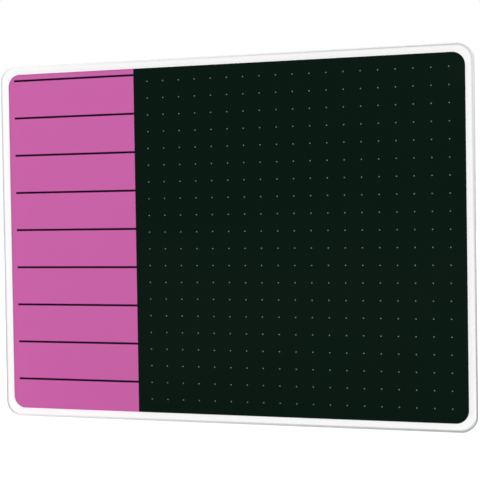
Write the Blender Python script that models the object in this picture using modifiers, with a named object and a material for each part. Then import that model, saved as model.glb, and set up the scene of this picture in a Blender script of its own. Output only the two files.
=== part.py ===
"""Magnetic dry-erase board for a wall, with a moulded one-piece frame, modelled piece by piece.

The board is modelled lying on its back: x runs to the right, y to its top edge and z from the wall to
the viewer. The empty named board then stands it up, so that in the world it faces -Y with +Z up, and
the world's origin is the middle of the wall face that it hangs on.
"""

import math

import bmesh
import bpy
from mathutils import Matrix, Vector

MM = 0.001

# Outline of the frame, seen from the front.
BOARD_WIDTH = 582 * MM
BOARD_HEIGHT = 431 * MM
OUTER_CORNER_RADIUS = 18 * MM
OPENING_CORNER_RADIUS = 15 * MM

# Section of the frame's rail. Its face falls from the crest to the lip along a curve of this power, and
# the rear part of its outer wall draws in towards the rim.
FRAME_WALL = 2.4 * MM
EDGE_ROUND = 2.0 * MM
FACE_FALL = 2.9 * MM
FACE_CURVE = 1.4
LIP_THICKNESS = 1.3 * MM
LIP_ROUND = 0.5 * MM
LIP_OVERLAP = 2.1 * MM
WALL_TAPER = 1.2 * MM
TAPER_HEIGHT = 7.6 * MM
RIM_CHAMFER = 0.4 * MM
LEAST_FILLET = 0.3 * MM

# Layers of the panel, from the front, and the width of the ruled column printed on the film.
FILM_THICKNESS = 0.3 * MM
STEEL_THICKNESS = 0.4 * MM
CORE_THICKNESS = 2.0 * MM
BACKING_THICKNESS = 0.4 * MM
LIST_COLUMN_WIDTH = 166.8 * MM

# Fits. Pieces that touch keep the seat gap between their meshes.
SEAT_GAP = 0.3 * MM
PANEL_CLEARANCE = 0.4 * MM
WALL_CLEARANCE = 0.4 * MM
JOIN_DEPTH = 0.5 * MM

# Screws, and the bosses in the frame that take them.
SCREW_SHANK = 1.5 * MM
SCREW_BITE = 3.6 * MM
SCREW_HEAD = 3.6 * MM
SCREW_HEAD_HEIGHT = 1.4 * MM
SCREW_GRIP = 1.8 * MM
BOSS_DIAMETER = 4.4 * MM
TIP_ROOM = 0.6 * MM

# Ribs that centre the panel, so many in each bay between two bosses.
RIB_THICKNESS = 1.2 * MM
RIB_SETBACK = 2.0 * MM
RIBS_PER_BAY = 3

# Clips that hold the panel in: two on each long rail, one on each short rail.
CLIP_WIDTH = 12 * MM
CLIP_LENGTH = 19 * MM
CLIP_SPACING = 190 * MM
CLIP_EDGE_ROUND = 0.4 * MM

# Corner brackets with a keyhole that hangs the board either way up.
BRACKET_SCREW_REACH = 48 * MM
BRACKET_END_MARGIN = 4.6 * MM
BRACKET_LEG_WIDTH = 13 * MM
BRACKET_SKIRT = 1.6 * MM
BRACKET_RECESS = 0.3 * MM
BRACKET_EDGE_ROUND = 0.5 * MM
BRACKET_TIP_ROUND = 3.0 * MM
HANGER_CAVITY = 3.3 * MM
KEYHOLE_PLACE = 27 * MM
KEYHOLE_ENTRY = 10 * MM
KEYHOLE_SLOT = 5.0 * MM
KEYHOLE_REACH = 9 * MM

# Soft pads that keep the board off the wall, let into the brackets.
PAD_DIAMETER = 10 * MM
PAD_THICKNESS = 2.0 * MM
PAD_POCKET = 1.0 * MM
POCKET_FLOOR = 1.0 * MM
PAD_PLACE = 13.5 * MM
PAD_EDGE_ROUND = 0.4 * MM

# Facets.
CORNER_STEPS = 10
ROUND_STEPS = 24
BORE_STEPS = 12
FILLET_STEPS = 5
FACE_STEPS = 4

# Heights over the wall. The pads stand on it and carry the brackets, which lie inside the frame's rim.
BRACKET_REAR = PAD_THICKNESS + SEAT_GAP - PAD_POCKET
BRACKET_PLATE = PAD_POCKET + POCKET_FLOOR
BRACKET_FRONT = BRACKET_REAR + BRACKET_PLATE + HANGER_CAVITY
RIM = BRACKET_REAR - BRACKET_RECESS
PANEL_BACK = BRACKET_FRONT + SEAT_GAP
CORE_BACK = PANEL_BACK + BACKING_THICKNESS + SEAT_GAP
STEEL_BACK = CORE_BACK + CORE_THICKNESS + SEAT_GAP
FILM_BACK = STEEL_BACK + STEEL_THICKNESS + SEAT_GAP
LIP_UNDERSIDE = FILM_BACK + FILM_THICKNESS + SEAT_GAP
CHANNEL_ROOF = LIP_UNDERSIDE + FACE_FALL / 2
FACE_EDGE = LIP_UNDERSIDE + LIP_THICKNESS
CREST = FACE_EDGE + FACE_FALL
HEAD_SEAT = BRACKET_FRONT - SCREW_GRIP

# Distances in from the frame's outer edge.
FIT_INSET = FRAME_WALL + WALL_CLEARANCE
BOSS_INSET = FIT_INSET + BOSS_DIAMETER / 2
PANEL_INSET = BOSS_INSET + BOSS_DIAMETER / 2 + PANEL_CLEARANCE
RAIL_FACE = PANEL_INSET + LIP_OVERLAP


# Scene set-up.


def clear_scene():
    """Remove every object that the file opened with."""
    for thing in list(bpy.data.objects):
        bpy.data.objects.remove(thing, do_unlink=True)


def new_collection(name, holder):
    """A collection of this name inside another."""
    made = bpy.data.collections.new(name)
    holder.children.link(made)
    return made


def new_material(name, colour, roughness, metallic=0.0):
    """A plain Principled material."""
    made = bpy.data.materials.new(name)
    made.use_nodes = True
    shader = made.node_tree.nodes["Principled BSDF"]
    shader.inputs["Base Color"].default_value = (*colour, 1.0)
    shader.inputs["Roughness"].default_value = roughness
    shader.inputs["Metallic"].default_value = metallic
    made.diffuse_color = (*colour, 1.0)
    return made


def new_object(name, mesh, collection):
    """An object on the board's empty."""
    made = bpy.data.objects.new(name, mesh)
    collection.objects.link(made)
    made.parent = bpy.data.objects["board"]
    return made


def as_tool(thing):
    """Mark an object as a cutter or an addition that isn't a piece by itself."""
    thing.hide_render = True
    thing.display_type = "WIRE"
    return thing


# Outlines.


def arc_points(centre, radius, start, end, steps):
    """Points of a circle's arc between two angles, both ends included."""
    angles = [start + (end - start) * step / steps for step in range(steps + 1)]
    return [
        (centre[0] + radius * math.cos(angle), centre[1] + radius * math.sin(angle))
        for angle in angles
    ]


def steps_for(radius, turn):
    """Facets of a rounded corner, more on a larger radius or a longer turn."""
    return max(2, round(2.4 * math.sqrt(radius / MM) * abs(turn) / (math.pi / 2)))


def filleted(corners, steps=None):
    """A closed outline through corners (x, y, radius), each rounded by its own radius."""
    points = []
    for index, (x, y, radius) in enumerate(corners):
        here = Vector((x, y))
        before = Vector(corners[index - 1][:2]) - here
        after = Vector(corners[(index + 1) % len(corners)][:2]) - here
        before.normalize()
        after.normalize()
        half = before.angle(after) / 2
        centre = here + (before + after).normalized() * (radius / math.sin(half))
        first = here + before * (radius / math.tan(half)) - centre
        last = here + after * (radius / math.tan(half)) - centre
        turn = first.angle_signed(last)
        start = math.atan2(first.y, first.x)
        points += arc_points(centre, radius, start, start - turn, steps or steps_for(radius, turn))
    return points


def corner_radius(inset):
    """Corner radius at an inset from the outer edge, blended from the outer edge to the opening."""
    blend = inset / RAIL_FACE
    return OUTER_CORNER_RADIUS + (OPENING_CORNER_RADIUS - OUTER_CORNER_RADIUS) * blend


def board_outline(inset):
    """The board's rounded rectangle at an inset from the outer edge."""
    x = BOARD_WIDTH / 2 - inset
    y = BOARD_HEIGHT / 2 - inset
    radius = corner_radius(inset)
    corners = [(x, -y, radius), (x, y, radius), (-x, y, radius), (-x, -y, radius)]
    return filleted(corners, CORNER_STEPS)


def stadium(start, end, width):
    """A slot's outline with round ends about two points."""
    along = math.atan2(end[1] - start[1], end[0] - start[0])
    half = BORE_STEPS // 2
    far = arc_points(end, width / 2, along - math.pi / 2, along + math.pi / 2, half)
    near = arc_points(start, width / 2, along + math.pi / 2, along + 3 * math.pi / 2, half)
    return far + near


# Solids.


def flat_mesh(name, outline, bottom, top):
    """A flat piece of an outline between two heights: a filled 2D curve with an extrude."""
    curve = bpy.data.curves.new(name, "CURVE")
    curve.dimensions = "2D"
    curve.fill_mode = "BOTH"
    curve.extrude = (top - bottom) / 2
    spline = curve.splines.new("POLY")
    spline.points.add(len(outline) - 1)
    for point, (x, y) in zip(spline.points, outline):
        point.co = (x, y, 0, 1)
    spline.use_cyclic_u = True
    holder = bpy.data.objects.new(name, curve)
    bpy.context.scene.collection.objects.link(holder)
    mesh = mesh_of(holder)
    bpy.data.curves.remove(curve)
    mesh.transform(Matrix.Translation((0, 0, (bottom + top) / 2)))
    mesh.name = name
    return mesh


def mesh_of(thing):
    """The mesh of an object as the viewport shows it, welded and facing out. The object goes."""
    graph = bpy.context.evaluated_depsgraph_get()
    mesh = bpy.data.meshes.new_from_object(thing.evaluated_get(graph))
    bpy.data.objects.remove(thing, do_unlink=True)
    shape = bmesh.new()
    shape.from_mesh(mesh)
    bmesh.ops.remove_doubles(shape, verts=shape.verts, dist=0.001 * MM)
    bmesh.ops.recalc_face_normals(shape, faces=shape.faces)
    shape.to_mesh(mesh)
    shape.free()
    return mesh


def cylinder_mesh(name, centre, diameter, bottom, top, steps=BORE_STEPS):
    """An upright cylinder between two heights."""
    shape = bmesh.new()
    place = Matrix.Translation((centre[0], centre[1], (bottom + top) / 2))
    bmesh.ops.create_cone(
        shape,
        cap_ends=True,
        segments=steps,
        radius1=diameter / 2,
        radius2=diameter / 2,
        depth=top - bottom,
        matrix=place,
    )
    mesh = bpy.data.meshes.new(name)
    shape.to_mesh(mesh)
    shape.free()
    return mesh


def box_mesh(name, low, high):
    """A box between two corners."""
    shape = bmesh.new()
    size = Vector(high) - Vector(low)
    middle = (Vector(high) + Vector(low)) / 2
    place = Matrix.Translation(middle) @ Matrix.Diagonal((*size, 1))
    bmesh.ops.create_cube(shape, size=1, matrix=place)
    mesh = bpy.data.meshes.new(name)
    shape.to_mesh(mesh)
    shape.free()
    return mesh


def combine(target, tools, operation):
    """Cut a collection of tools from an object, or join them to it."""
    modifier = target.modifiers.new(operation.title(), "BOOLEAN")
    modifier.operation = operation
    modifier.operand_type = "COLLECTION"
    modifier.collection = tools
    modifier.solver = "EXACT"


def soften(target, width):
    """Break the sharp edges of an object."""
    modifier = target.modifiers.new("Edges", "BEVEL")
    modifier.width = width
    modifier.segments = 1
    modifier.limit_method = "ANGLE"
    modifier.angle_limit = math.radians(50)
    modifier.use_clamp_overlap = False


def shade(mesh):
    """Smooth shading with the real edges kept."""
    mesh.shade_smooth()
    mesh.set_sharp_from_angle(angle=math.radians(35))


# Places that repeat.


def rail_bosses():
    """Screw places along a long and a short rail, from its middle: a bracket's, the clips', a bracket's."""
    half_span = {"long": BOARD_WIDTH / 2, "short": BOARD_HEIGHT / 2}
    clips = {"long": [-CLIP_SPACING / 2, CLIP_SPACING / 2], "short": [0.0]}
    return {
        rail: [BRACKET_SCREW_REACH - half_span[rail], *clips[rail], half_span[rail] - BRACKET_SCREW_REACH]
        for rail in half_span
    }


def rails():
    """Each rail's name, kind, turn from the bottom rail and distance from the middle to its outer edge."""
    return [
        ("bottom", "long", 0, BOARD_HEIGHT / 2),
        ("right", "short", 90, BOARD_WIDTH / 2),
        ("top", "long", 180, BOARD_HEIGHT / 2),
        ("left", "short", 270, BOARD_WIDTH / 2),
    ]


def on_rail(turn, reach):
    """Matrix from a rail's own axes, x along it and y in from its outer edge, to the board's axes."""
    return Matrix.Rotation(math.radians(turn), 4, "Z") @ Matrix.Translation((0, -reach, 0))


# Pieces.


def frame_section():
    """Stations (inset, height) round the rail's section: up the outside, over the face, back inside."""
    quarter = math.pi / 2
    lip_round = min(LIP_ROUND, LIP_THICKNESS / 2)
    inner_fillet = max(EDGE_ROUND - FRAME_WALL, LEAST_FILLET)
    stations = [(WALL_TAPER + RIM_CHAMFER, RIM), (WALL_TAPER, RIM + RIM_CHAMFER), (0.0, RIM + TAPER_HEIGHT)]
    stations += arc_points((EDGE_ROUND, CREST - EDGE_ROUND), EDGE_ROUND, math.pi, quarter, FILLET_STEPS)
    face_end = RAIL_FACE - lip_round
    for step in range(1, FACE_STEPS + 1):
        along = step / FACE_STEPS
        fall = FACE_FALL * along**FACE_CURVE
        stations.append((EDGE_ROUND + (face_end - EDGE_ROUND) * along, CREST - fall))
    stations += arc_points((face_end, FACE_EDGE - lip_round), lip_round, quarter, 0, 2)[1:]
    stations += [(RAIL_FACE, LIP_UNDERSIDE), (PANEL_INSET, LIP_UNDERSIDE)]
    corner = (FRAME_WALL + inner_fillet, CHANNEL_ROOF - inner_fillet)
    stations += arc_points(corner, inner_fillet, quarter, math.pi, FILLET_STEPS - 2)
    stations.append((FRAME_WALL, RIM))
    return stations


def make_frame(parts, tools, material):
    """The moulded frame: a loft of rounded rectangles of unlike corners, with bosses, ribs and holes."""
    shape = bmesh.new()
    loops = [
        [shape.verts.new((x, y, height)) for x, y in board_outline(inset)]
        for inset, height in frame_section()
    ]
    for loop, following in zip(loops, loops[1:] + loops[:1]):
        for index in range(len(loop)):
            shape.faces.new((loop[index - 1], loop[index], following[index], following[index - 1]))
    bmesh.ops.recalc_face_normals(shape, faces=shape.faces)
    mesh = bpy.data.meshes.new("frame")
    shape.to_mesh(mesh)
    shape.free()
    frame = new_object("frame", mesh, parts)
    mesh.materials.append(material)

    additions = new_collection("frame_bosses_and_ribs", tools)
    holes = new_collection("frame_screw_holes", tools)
    root = CHANNEL_ROOF + JOIN_DEPTH
    wall_root = FRAME_WALL - JOIN_DEPTH
    pilot = SCREW_SHANK + 2 * SEAT_GAP
    pilot_end = HEAD_SEAT + SCREW_GRIP + SEAT_GAP + SCREW_BITE + TIP_ROOM
    for rail, kind, turn, reach in rails():
        place = on_rail(turn, reach)
        bosses = rail_bosses()[kind]
        for number, along in enumerate(bosses):
            name = f"{rail}_boss_{number}"
            centre = (along, BOSS_INSET)
            boss = cylinder_mesh(name, centre, BOSS_DIAMETER, PANEL_BACK, root)
            web = box_mesh(
                name + "_web",
                (along - RIB_THICKNESS / 2, wall_root, PANEL_BACK + RIB_SETBACK),
                (along + RIB_THICKNESS / 2, BOSS_INSET, root),
            )
            hole = cylinder_mesh(name + "_hole", centre, pilot, PANEL_BACK - JOIN_DEPTH, pilot_end)
            for tool, group in ((boss, additions), (web, additions), (hole, holes)):
                tool.transform(place)
                as_tool(new_object(tool.name, tool, group))
        for bay, (first, last) in enumerate(zip(bosses, bosses[1:])):
            for number in range(RIBS_PER_BAY):
                along = first + (last - first) * (number + 1) / (RIBS_PER_BAY + 1)
                rib = box_mesh(
                    f"{rail}_rib_{bay}_{number}",
                    (along - RIB_THICKNESS / 2, wall_root, PANEL_BACK + RIB_SETBACK),
                    (along + RIB_THICKNESS / 2, PANEL_INSET - PANEL_CLEARANCE, root),
                )
                rib.transform(place)
                as_tool(new_object(rib.name, rib, additions))
    combine(frame, additions, "UNION")
    combine(frame, holes, "DIFFERENCE")
    shade(mesh)


def make_panel(parts, film_materials, steel_material, core_material, backing_material):
    """The panel's four layers: printed film, steel sheet, fibreboard core and paper backing."""
    outline = board_outline(PANEL_INSET)
    layers = [
        ("steel_sheet", STEEL_BACK, STEEL_THICKNESS, steel_material),
        ("core_board", CORE_BACK, CORE_THICKNESS, core_material),
        ("backing_sheet", PANEL_BACK, BACKING_THICKNESS, backing_material),
    ]
    for name, back, thickness, material in layers:
        mesh = flat_mesh(name, outline, back, back + thickness)
        mesh.materials.append(material)
        new_object(name, mesh, parts)

    mesh = flat_mesh("printed_film", outline, FILM_BACK, FILM_BACK + FILM_THICKNESS)
    boundary = RAIL_FACE - BOARD_WIDTH / 2 + LIST_COLUMN_WIDTH
    shape = bmesh.new()
    shape.from_mesh(mesh)
    everything = [*shape.verts, *shape.edges, *shape.faces]
    bmesh.ops.bisect_plane(shape, geom=everything, plane_co=(boundary, 0, 0), plane_no=(1, 0, 0))
    for face in shape.faces:
        face.material_index = int(face.calc_center_median().x > boundary)
    shape.to_mesh(mesh)
    shape.free()
    for material in film_materials:
        mesh.materials.append(material)
    new_object("printed_film", mesh, parts)


def bracket_corners(inset, leg):
    """The bracket's five corners in from a board corner, pulled in by an inset, with legs cut at a length."""
    edge = FIT_INSET + inset
    full_leg = BRACKET_SCREW_REACH + BRACKET_END_MARGIN
    slope = full_leg + FIT_INSET + BRACKET_LEG_WIDTH - inset * math.sqrt(2)
    tip = BRACKET_TIP_ROUND
    return [
        (edge, edge, corner_radius(edge)),
        (leg, edge, tip),
        (leg, slope - leg, tip),
        (slope - leg, leg, tip),
        (edge, leg, tip),
    ]


def make_brackets(parts, tools, material):
    """Four like corner brackets: hollow, with a two-way keyhole, a pad's pocket and two screwed ears."""
    full_leg = BRACKET_SCREW_REACH + BRACKET_END_MARGIN
    ear_start = BRACKET_SCREW_REACH - BRACKET_END_MARGIN
    hollow_leg = ear_start - BRACKET_SKIRT
    body = flat_mesh("corner_bracket", filleted(bracket_corners(0, full_leg)), BRACKET_REAR, BRACKET_FRONT)
    blank = new_object("corner_bracket_blank", body, parts)
    soften(blank, BRACKET_EDGE_ROUND)

    cuts = new_collection("corner_bracket_cuts", tools)
    below = BRACKET_REAR - JOIN_DEPTH
    above = BRACKET_FRONT + JOIN_DEPTH
    plate_front = BRACKET_REAR + BRACKET_PLATE
    entry = (KEYHOLE_PLACE, KEYHOLE_PLACE)
    slot_end = KEYHOLE_PLACE - KEYHOLE_REACH
    hole = SCREW_SHANK + 2 * SEAT_GAP
    past = full_leg + JOIN_DEPTH
    screws = [(BRACKET_SCREW_REACH, BOSS_INSET), (BOSS_INSET, BRACKET_SCREW_REACH)]
    hollow = filleted(bracket_corners(BRACKET_SKIRT, hollow_leg))
    slot_up = stadium(entry, (KEYHOLE_PLACE, slot_end), KEYHOLE_SLOT)
    slot_across = stadium(entry, (slot_end, KEYHOLE_PLACE), KEYHOLE_SLOT)
    cutters = [
        flat_mesh("bracket_hollow", hollow, plate_front, above),
        flat_mesh("keyhole_slot_up", slot_up, below, above),
        flat_mesh("keyhole_slot_across", slot_across, below, above),
        cylinder_mesh("keyhole_entry", entry, KEYHOLE_ENTRY, below, above, ROUND_STEPS),
        cylinder_mesh(
            "pad_pocket",
            (PAD_PLACE, PAD_PLACE),
            PAD_DIAMETER + 2 * SEAT_GAP,
            below,
            BRACKET_REAR + PAD_POCKET,
            ROUND_STEPS,
        ),
    ]
    cutters.append(box_mesh("ear_step_up", (ear_start, 0, below), (past, past, HEAD_SEAT)))
    cutters.append(box_mesh("ear_step_across", (0, ear_start, below), (past, past, HEAD_SEAT)))
    for number, centre in enumerate(screws):
        cutters.append(cylinder_mesh(f"screw_hole_{number}", centre, hole, below, above))
    for cutter in cutters:
        as_tool(new_object(cutter.name, cutter, cuts))
    combine(blank, cuts, "DIFFERENCE")
    mesh = mesh_of(blank)
    mesh.name = "corner_bracket"
    mesh.materials.append(material)
    shade(mesh)
    for name, place in corner_places().items():
        new_object(f"corner_bracket_{name}", mesh, parts).matrix_local = place


def corner_places():
    """Matrix of each board corner, with x and y in from its two edges."""
    x = BOARD_WIDTH / 2
    y = BOARD_HEIGHT / 2
    corners = {
        "bottom_left": (-x, -y, 0),
        "bottom_right": (x, -y, 90),
        "top_right": (x, y, 180),
        "top_left": (-x, y, 270),
    }
    return {
        name: Matrix.Translation((cx, cy, 0)) @ Matrix.Rotation(math.radians(turn), 4, "Z")
        for name, (cx, cy, turn) in corners.items()
    }


def make_clips(parts, tools, material):
    """Six like clips screwed to the rails, each reaching over the panel's back."""
    half = CLIP_WIDTH / 2
    end = FIT_INSET + CLIP_LENGTH
    heel_round = half / 3
    outline = filleted(
        [
            (half, FIT_INSET, heel_round),
            (half, end, half * 0.98),
            (-half, end, half * 0.98),
            (-half, FIT_INSET, heel_round),
        ]
    )
    blank = new_object("clip_blank", flat_mesh("panel_clip", outline, HEAD_SEAT, BRACKET_FRONT), parts)
    soften(blank, CLIP_EDGE_ROUND)
    cuts = new_collection("clip_cuts", tools)
    hole = cylinder_mesh(
        "clip_hole",
        (0, BOSS_INSET),
        SCREW_SHANK + 2 * SEAT_GAP,
        HEAD_SEAT - JOIN_DEPTH,
        BRACKET_FRONT + JOIN_DEPTH,
    )
    as_tool(new_object("clip_hole", hole, cuts))
    combine(blank, cuts, "DIFFERENCE")
    mesh = mesh_of(blank)
    mesh.name = "panel_clip"
    mesh.materials.append(material)
    shade(mesh)
    for rail, kind, turn, reach in rails():
        for along, name in clip_names(rail, kind):
            place = on_rail(turn, reach) @ Matrix.Translation((along, 0, 0))
            new_object(f"panel_clip_{name}", mesh, parts).matrix_local = place


def clip_names(rail, kind):
    """The clips of one rail: (place along it, name). The top rail is turned round, so its x runs left."""
    inner = rail_bosses()[kind][1:-1]
    if kind == "short":
        return [(inner[0], rail)]
    sides = ["left", "right"] if rail == "bottom" else ["right", "left"]
    return [(along, f"{rail}_{side}") for along, side in zip(inner, sides)]


def bracket_screw_names(rail):
    """The names of the bracket screws at the two ends of a rail, in order along it."""
    ends = {
        "bottom": ["bottom_left_lower", "bottom_right_lower"],
        "right": ["bottom_right_side", "top_right_side"],
        "top": ["top_right_upper", "top_left_upper"],
        "left": ["top_left_side", "bottom_left_side"],
    }
    return ends[rail]


def make_screws(parts, material):
    """Like pan-head screws through the brackets and clips into the frame's bosses: a turned profile."""
    length = SCREW_GRIP + 2 * SEAT_GAP + SCREW_BITE
    shank = SCREW_SHANK / 2
    head = SCREW_HEAD / 2
    profile = [(0, length), (shank / 2, length), (shank, length - shank), (shank, 0), (head, 0)]
    dome = arc_points((0, 0), 1, 0, -math.pi / 2, FACE_STEPS)
    wall = SCREW_HEAD_HEIGHT / 3
    profile += [(head * x, (SCREW_HEAD_HEIGHT - wall) * y - wall) for x, y in dome[:-1]]
    profile.append((0, -SCREW_HEAD_HEIGHT))
    mesh = bpy.data.meshes.new("screw_profile")
    edges = [(index, index + 1) for index in range(len(profile) - 1)]
    mesh.from_pydata([(x, 0, z) for x, z in profile], edges, [])
    blank = new_object("screw_blank", mesh, parts)
    turned = blank.modifiers.new("Turn", "SCREW")
    turned.steps = BORE_STEPS
    turned.render_steps = turned.steps
    turned.use_merge_vertices = True
    turned.merge_threshold = 0.01 * MM
    mesh = mesh_of(blank)
    mesh.name = "screw"
    mesh.materials.append(material)
    shade(mesh)
    seat = HEAD_SEAT - SEAT_GAP
    for rail, kind, turn, reach in rails():
        first, last = bracket_screw_names(rail)
        bosses = rail_bosses()[kind]
        named = [(bosses[0], f"bracket_screw_{first}"), (bosses[-1], f"bracket_screw_{last}")]
        named += [(along, f"clip_screw_{name}") for along, name in clip_names(rail, kind)]
        for along, name in named:
            place = on_rail(turn, reach) @ Matrix.Translation((along, BOSS_INSET, seat))
            new_object(name, mesh, parts).matrix_local = place


def make_pads(parts, material):
    """Four like round pads in the brackets' pockets, proud of the frame's rim."""
    blank = new_object(
        "pad_blank",
        cylinder_mesh("wall_pad", (PAD_PLACE, PAD_PLACE), PAD_DIAMETER, 0, PAD_THICKNESS, ROUND_STEPS),
        parts,
    )
    soften(blank, PAD_EDGE_ROUND)
    mesh = mesh_of(blank)
    mesh.name = "wall_pad"
    mesh.materials.append(material)
    shade(mesh)
    for name, place in corner_places().items():
        new_object(f"wall_pad_{name}", mesh, parts).matrix_local = place


def main():
    clear_scene()
    parts = new_collection("magnetic_whiteboard", bpy.context.scene.collection)
    tools = new_collection("cutters", bpy.context.scene.collection)
    tools.hide_render = True
    board = bpy.data.objects.new("board", None)
    parts.objects.link(board)
    board.rotation_euler = (math.pi / 2, 0, 0)

    frame_white = new_material("frame_white_plastic", (0.86, 0.87, 0.87), 0.22)
    film_pink = new_material("film_pink_print", (0.58, 0.12, 0.38), 0.3)
    film_black = new_material("film_black_print", (0.004, 0.011, 0.008), 0.3)
    steel = new_material("bare_steel", (0.55, 0.56, 0.57), 0.4, 1.0)
    fibreboard = new_material("fibreboard", (0.33, 0.2, 0.11), 0.85)
    kraft = new_material("kraft_paper", (0.47, 0.33, 0.2), 0.9)
    bracket_white = new_material("bracket_white_plastic", (0.76, 0.77, 0.77), 0.45)
    clip_white = new_material("clip_white_plastic", (0.72, 0.73, 0.73), 0.45)
    zinc = new_material("zinc_plate", (0.62, 0.63, 0.65), 0.35, 1.0)
    pad_grey = new_material("grey_foam_rubber", (0.16, 0.16, 0.17), 0.9)

    make_frame(parts, tools, frame_white)
    make_panel(parts, (film_pink, film_black), steel, fibreboard, kraft)
    make_brackets(parts, tools, bracket_white)
    make_clips(parts, tools, clip_white)
    make_screws(parts, zinc)
    make_pads(parts, pad_grey)


main()
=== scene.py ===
"""Finished looks of the magnetic whiteboard, laid over its packed model.

Laid out as an add-on and run as a script. The board stands with its wall face in the plane Y = 0 and
looks along -Y. In the shapes below, x runs to the right, y up and height from the wall to the viewer.
"""

import math

import bmesh
import bpy
import numpy as np
from bpy.props import FloatProperty, FloatVectorProperty, IntProperty, PointerProperty
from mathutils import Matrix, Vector


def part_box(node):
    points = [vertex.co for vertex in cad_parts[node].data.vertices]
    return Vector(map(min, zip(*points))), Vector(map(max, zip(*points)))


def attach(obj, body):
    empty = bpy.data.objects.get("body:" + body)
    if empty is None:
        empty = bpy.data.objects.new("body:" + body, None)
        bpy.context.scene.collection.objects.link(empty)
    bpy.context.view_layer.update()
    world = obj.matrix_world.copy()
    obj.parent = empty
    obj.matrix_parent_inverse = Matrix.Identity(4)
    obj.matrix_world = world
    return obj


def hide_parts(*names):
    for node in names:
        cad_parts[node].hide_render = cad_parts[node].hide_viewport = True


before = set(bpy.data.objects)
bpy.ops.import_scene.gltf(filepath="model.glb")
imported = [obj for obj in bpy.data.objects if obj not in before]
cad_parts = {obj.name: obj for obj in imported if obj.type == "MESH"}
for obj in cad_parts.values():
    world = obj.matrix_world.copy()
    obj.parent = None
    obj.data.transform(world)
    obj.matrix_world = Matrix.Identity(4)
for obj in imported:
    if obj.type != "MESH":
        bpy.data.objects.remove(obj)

bl_info = {
    "name": "Magnetic whiteboard",
    "version": (1, 0, 0),
    "blender": (4, 5, 0),
    "location": "3D View > Sidebar > Whiteboard",
    "description": "Dresses the packed whiteboard with its moulded frame, print, fittings and finishes",
    "category": "Object",
}

MM = 0.001
QUARTER = math.pi / 2
SAME_PLACE = 0.001 * MM
SHARP = 35  # degrees
NOISE_SPAN = 0.3, 0.7  # where most of a noise lies
WHITE = (1, 1, 1, 1)
BODY = "root"
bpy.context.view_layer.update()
FRAME_LOW, FRAME_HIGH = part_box("frame")
FILM_LOW, FILM_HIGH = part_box("printed_film")
RAILS = ("bottom", "right", "top", "left")
CORNERS = ("top_left", "top_right", "bottom_left", "bottom_right")
CLIPS = CORNERS + ("left", "right")
SCREWS = sorted(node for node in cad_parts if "_screw_" in node)


def heights(node):
    """Heights of a node's back and front over the wall."""
    low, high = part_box(node)
    return -high[1], -low[1]


def middle(node):
    """A node's middle seen from the front, as x and y."""
    low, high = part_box(node)
    return (low[0] + high[0]) / 2, (low[2] + high[2]) / 2


# Sizes and colours that a user would change.


def number(name, description, default, **more):
    """A number property."""
    return FloatProperty(name=name, description=description, default=default, **more)


def vector(name, description, default, **more):
    """A property of three numbers."""
    return FloatVectorProperty(name=name, description=description, default=default, **more)


def length(name, description, millimetres):
    """A length property, kept in metres."""
    return number(name, description, float(millimetres) * MM, min=0.0, unit="LENGTH", precision=5)


def place(name, description, millimetres):
    """A coordinate, kept in metres, which may be negative."""
    return number(name, description, float(millimetres) * MM, unit="LENGTH", precision=5)


def colour(name, description, default):
    """A colour property, in linear light."""
    return vector(name, description, default, subtype="COLOR", min=0.0, max=1.0)


class FrameSizes(bpy.types.PropertyGroup):
    """Sizes of the moulded frame."""

    width: length("Width", "Outside width of the frame", (FRAME_HIGH[0] - FRAME_LOW[0]) / MM)
    height: length("Height", "Outside height of the frame", (FRAME_HIGH[2] - FRAME_LOW[2]) / MM)
    rim: length("Rim", "Height of the rear rim over the wall", -FRAME_HIGH[1] / MM)
    crest: length("Crest", "Height of the face's crest over the wall", -FRAME_LOW[1] / MM)
    outer_corner: length("Outer corner", "Radius of the outer corners", 18)
    opening_corner: length("Opening corner", "Radius of the opening's corners", 15)
    rail: length("Rail", "Width of the rail from the outer edge to the opening", 9.7)
    wall: length("Wall", "Thickness of the outer wall at the front", 2.4)
    edge_round: length("Edge round", "Radius between the outer wall and the face", 2.0)
    face_fall: length("Face fall", "How far the face falls from its crest to the lip", 2.9)
    face_curve: number("Face curve", "Power of the curve of the fall", 1.4, min=1.0)
    lip: length("Lip", "Thickness of the lip over the panel", 1.3)
    lip_round: length("Lip round", "Radius of the lip's edge", 0.5)
    taper: length("Taper", "How far the rear part of the outer wall draws in", 1.2)
    taper_height: length("Taper height", "Height of the drawn-in part over the rim", 7.6)
    rim_round: length("Rim round", "Radius of the rear rim's outer edge", 0.4)
    parting_depth: length("Parting line depth", "Depth of the mould's line where the taper starts", 0.1)
    rib: length("Rib", "Thickness of the centring ribs and boss webs", 1.2)
    boss: length("Boss", "Diameter of the screw bosses", 4.4)
    pilot: length("Pilot hole", "Diameter of the bosses' pilot holes", 2.1)
    ribs_per_bay: IntProperty(name="Ribs per bay", description="Ribs between two bosses", default=3, min=0)
    corner_steps: IntProperty(name="Corner steps", description="Facets of a corner", default=28, min=4)


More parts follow.
